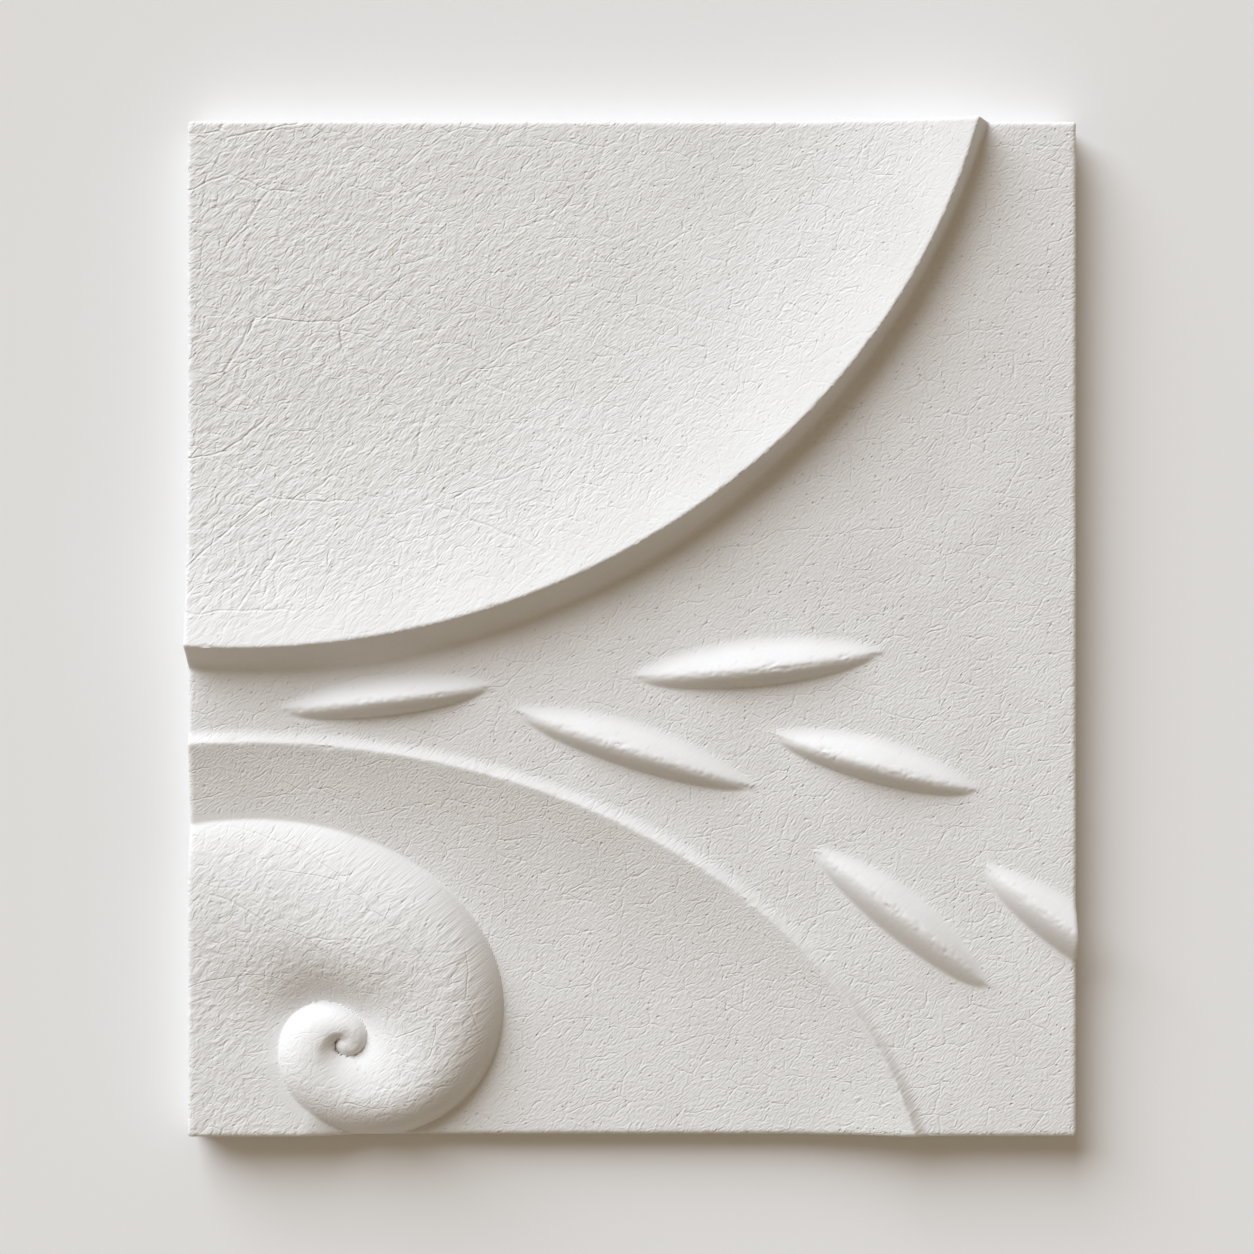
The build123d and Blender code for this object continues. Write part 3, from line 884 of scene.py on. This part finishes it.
def plaster_material(look):
    """Dry matte plaster: grain, short strokes, lumps, pits and cracks as bump, with a faint mottle of colour
    and painted shade darkening the pits.

    The bump's height is in millimetres. It is weaker where the attribute "calm" is high, the lumps follow
    "coarse", the long cracks run along the places in "flow", and a share that is 1 over the dish lifts the
    body colour there as painted light. The places in "spread" slide with the height, so that nothing is drawn
    out down the walls and sides.
    """
    material = bpy.data.materials.new("plaster")
    material.use_nodes = True
    tree = material.node_tree
    shader = tree.nodes["Principled BSDF"]
    place_on = add_node(tree, "ShaderNodeAttribute", {"attribute_name": "spread"}).outputs["Vector"]
    calm = add_node(tree, "ShaderNodeAttribute", {"attribute_name": "calm"}).outputs["Fac"]
    coarse = add_node(tree, "ShaderNodeAttribute", {"attribute_name": "coarse"}).outputs["Fac"]
    # Share of painted light: 1 over the dish, where the colour is made lighter.
    pale_and_painted_light = add_node(tree, "ShaderNodeAttribute", {"attribute_name": "pale_and_painted_light"}).outputs["Fac"]
    flow = add_node(tree, "ShaderNodeAttribute", {"attribute_name": "flow"}).outputs["Vector"]

    drifted = warped(tree, place_on, 45.0, 0.009)
    crooked = warped(tree, place_on, 120.0, 0.0035)
    slanted = drawn_out(tree, warped(tree, place_on, 60.0, 0.0045), STROKE_BEARING, HATCH_STRETCH)
    hatch = cloud(tree, slanted, HATCH_CELLS)
    long_strokes = strokes(tree, crooked, *LONG_STROKE)
    short_strokes = strokes(tree, moved(tree, crooked, (1.3, 2.1, 0.0)), *SHORT_STROKE)
    lumps = cloud(tree, drawn_out(tree, drifted, LUMP_BEARING, LUMP_STRETCH), LUMP_CELLS, 1.0)

    settings = {"voronoi_dimensions": "2D"}
    pit = add_node(tree, "ShaderNodeTexVoronoi", settings, Vector=drifted, Scale=PIT_CELLS)
    deep = add_node(tree, "ShaderNodeSeparateColor", None, Color=pit.outputs["Color"]).outputs[0]
    deep = calculate(tree, "GREATER_THAN", deep, PIT_CHANCE)
    pits = calculate(tree, "MULTIPLY", ramp(tree, pit.outputs["Distance"], 0.03, 0.19, 1.0, 0.0), deep)

    wavering = warped(tree, flow, 60.0, 0.0040)
    cracks = crack_net(tree, drawn_out(tree, wavering, 0.0, 1.8), *CRACK)
    creases = crack_net(tree, drawn_out(tree, crooked, 20.0, 1.5), *CREASE)

    marks = calculate(tree, "MULTIPLY_ADD", short_strokes, 0.8, long_strokes)
    marks = calculate(tree, "MULTIPLY", marks, ramp(tree, coarse, 0.0, 1.0, 0.68, 1.0))
    cracks = calculate(tree, "MULTIPLY", cracks, ramp(tree, coarse, 0.1, 1.0, 0.3, 1.3))
    height = calculate(tree, "MULTIPLY", hatch, ramp(tree, coarse, 0.0, 0.8, 0.80, 0.95))
    height = calculate(tree, "MULTIPLY", height, look.hatch_depth)
    height = calculate(tree, "MULTIPLY_ADD", marks, -look.stroke_depth, height)
    lumps = calculate(tree, "MULTIPLY", lumps, coarse)
    height = calculate(tree, "MULTIPLY_ADD", lumps, look.lump_depth, height)
    height = calculate(tree, "MULTIPLY_ADD", pits, -look.pit_depth, height)
    height = calculate(tree, "MULTIPLY_ADD", cracks, -look.crack_depth, height)
    height = calculate(tree, "MULTIPLY_ADD", creases, -look.crease_depth, height)
    strength = ramp(tree, calm, 0.0, 1.0, 1.0, 0.12)
    bump = add_node(tree, "ShaderNodeBump", None, Strength=strength, Distance=0.001, Height=height)

    mottle_and_painted_light = ramp(tree, cloud(tree, place_on, MOTTLE_CELLS, 3.0), 0.36, 0.64)
    # Painted light: over the dish the colour is lifted towards the lighter end.
    mottle_and_painted_light = calculate(tree, "MULTIPLY_ADD", mottle_and_painted_light, 0.5, calculate(tree, "MULTIPLY", pale_and_painted_light, 0.5))
    body = add_node(tree, "ShaderNodeMix", {"data_type": "RGBA"}, Factor=mottle_and_painted_light)
    body.inputs[6].default_value = (*look.colour, 1)
    body.inputs[7].default_value = (*look.pale_and_painted_light, 1)
    # Painted shade: the colour in the pits is darkened towards the brown.
    pit_shade = calculate(tree, "MULTIPLY", pits, look.pit_shade_strength)
    colour = add_node(tree, "ShaderNodeMix", {"data_type": "RGBA"}, Factor=pit_shade, i6=body.outputs[2])
    colour.inputs[7].default_value = (*look.pit_shade_colour, 1)
    tree.links.new(colour.outputs[2], shader.inputs["Base Color"])
    tree.links.new(bump.outputs["Normal"], shader.inputs["Normal"])
    shader.inputs["Roughness"].default_value = look.roughness
    return material


class RELIEF_OT_panel(bpy.types.Operator):
    """Build the cast panel with its worked face"""

    bl_idname = "relief.panel"
    bl_label = "Relief Panel"

    def execute(self, context):
        scene = context.scene
        points, triangles, back = relief_surface(scene)
        if len(triangles) + len(back) > TRIANGLE_LIMIT:
            raise RuntimeError("The cells of the face are too fine")
        mesh = closed_mesh("plaster_relief", points, triangles, back)
        x = points[:, 0]
        y = points[:, 1]
        # The third share is painted light, which makes the dish's colour lighter.
        for name, share in (("calm", calm_share), ("coarse", coarse_share), ("pale_and_painted_light", painted_light_share)):
            layer = mesh.attributes.new(name, "FLOAT", "POINT")
            layer.data.foreach_set("value", share(x, y, scene).astype(np.float32))
        slide = points[:, 2:] * np.array(PATTERN_SLIDE)
        for name, places in (("flow", flow_places(x, y, scene)), ("spread", points * np.array((1, 1, 0)))):
            layer = mesh.attributes.new(name, "FLOAT_VECTOR", "POINT")
            layer.data.foreach_set("vector", (places + slide).astype(np.float32).ravel())
        piece = bpy.data.objects.new("plaster_relief", mesh)
        scene.collection.objects.link(piece)
        mesh.materials.append(plaster_material(scene.relief_plaster))
        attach(piece, "root")
        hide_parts("relief_panel")
        return {"FINISHED"}


class RELIEF_OT_stage(bpy.types.Operator):
    """Set the floor, the light and the camera"""

    bl_idname = "relief.stage"
    bl_label = "Studio Stage"

    def execute(self, context):
        scene = context.scene
        look = scene.relief_stage
        mesh = bpy.data.meshes.new("floor")
        reach = look.floor_reach
        low = -look.floor_gap
        corners = [(-reach, -reach, low), (reach, -reach, low), (reach, reach, low), (-reach, reach, low)]
        mesh.from_pydata(corners, [], [(0, 1, 2, 3)])
        floor = bpy.data.objects.new("floor", mesh)
        scene.collection.objects.link(floor)
        paint = bpy.data.materials.new("floor_paint")
        paint.use_nodes = True
        shader = paint.node_tree.nodes["Principled BSDF"]
        shader.inputs["Base Color"].default_value = (*look.floor, 1)
        shader.inputs["Roughness"].default_value = 0.9
        mesh.materials.append(paint)

        world = bpy.data.worlds.new("studio")
        scene.world = world
        world.use_nodes = True
        background = world.node_tree.nodes["Background"]
        background.inputs["Color"].default_value = (*look.fill_colour, 1)
        background.inputs["Strength"].default_value = look.fill_power

        lamp = bpy.data.lights.new("window_light", "SUN")
        lamp.energy = look.light_power
        lamp.angle = radians(look.light_width)
        lamp.color = look.light_colour
        key = bpy.data.objects.new("window_light", lamp)
        key.rotation_euler = (radians(look.light_tilt), 0, radians(look.light_bearing))
        scene.collection.objects.link(key)

        optics = bpy.data.cameras.new("camera")
        optics.angle = 2 * atan(look.frame_width / 2 / look.camera_height)
        camera = bpy.data.objects.new("camera", optics)
        level = scene.relief_panel.ground_level + look.camera_height
        camera.location = (look.camera_offset[0], look.camera_offset[1], level)
        scene.collection.objects.link(camera)
        scene.camera = camera
        scene.view_settings.view_transform = "Standard"
        return {"FINISHED"}


class RELIEF_PT_sidebar(bpy.types.Panel):
    """Shows the buttons that build the relief and its stage"""

    bl_label = "Plaster Wall Relief"
    bl_idname = "RELIEF_PT_sidebar"
    bl_space_type = "VIEW_3D"
    bl_region_type = "UI"
    bl_category = "Relief"

    def draw(self, context):
        self.layout.operator(RELIEF_OT_panel.bl_idname)
        self.layout.operator(RELIEF_OT_stage.bl_idname)


GROUPS = {
    "relief_panel": ReliefPanelSizes,
    "relief_roundel": ReliefRoundel,
    "relief_field": ReliefField,
    "relief_volute": ReliefVolute,
    "relief_leaves": ReliefLeaves,
    "relief_wear": ReliefWear,
    "relief_rubbing": ReliefRubbing,
    "relief_plaster": ReliefPlaster,
    "relief_stage": ReliefStage,
}
TOOLS = (RELIEF_OT_panel, RELIEF_OT_stage, RELIEF_PT_sidebar)


def register():
    """Adds the settings, the operators and the sidebar."""
    for name, group in GROUPS.items():
        bpy.utils.register_class(group)
        setattr(bpy.types.Scene, name, PointerProperty(type=group))
    for tool in TOOLS:
        bpy.utils.register_class(tool)


def unregister():
    """Takes them away again."""
    for tool in reversed(TOOLS):
        bpy.utils.unregister_class(tool)
    for name, group in reversed(GROUPS.items()):
        delattr(bpy.types.Scene, name)
        bpy.utils.unregister_class(group)


def main():
    """Builds the relief and its stage."""
    register()
    bpy.ops.relief.panel()
    bpy.ops.relief.stage()


if __name__ == "__main__":
    main()
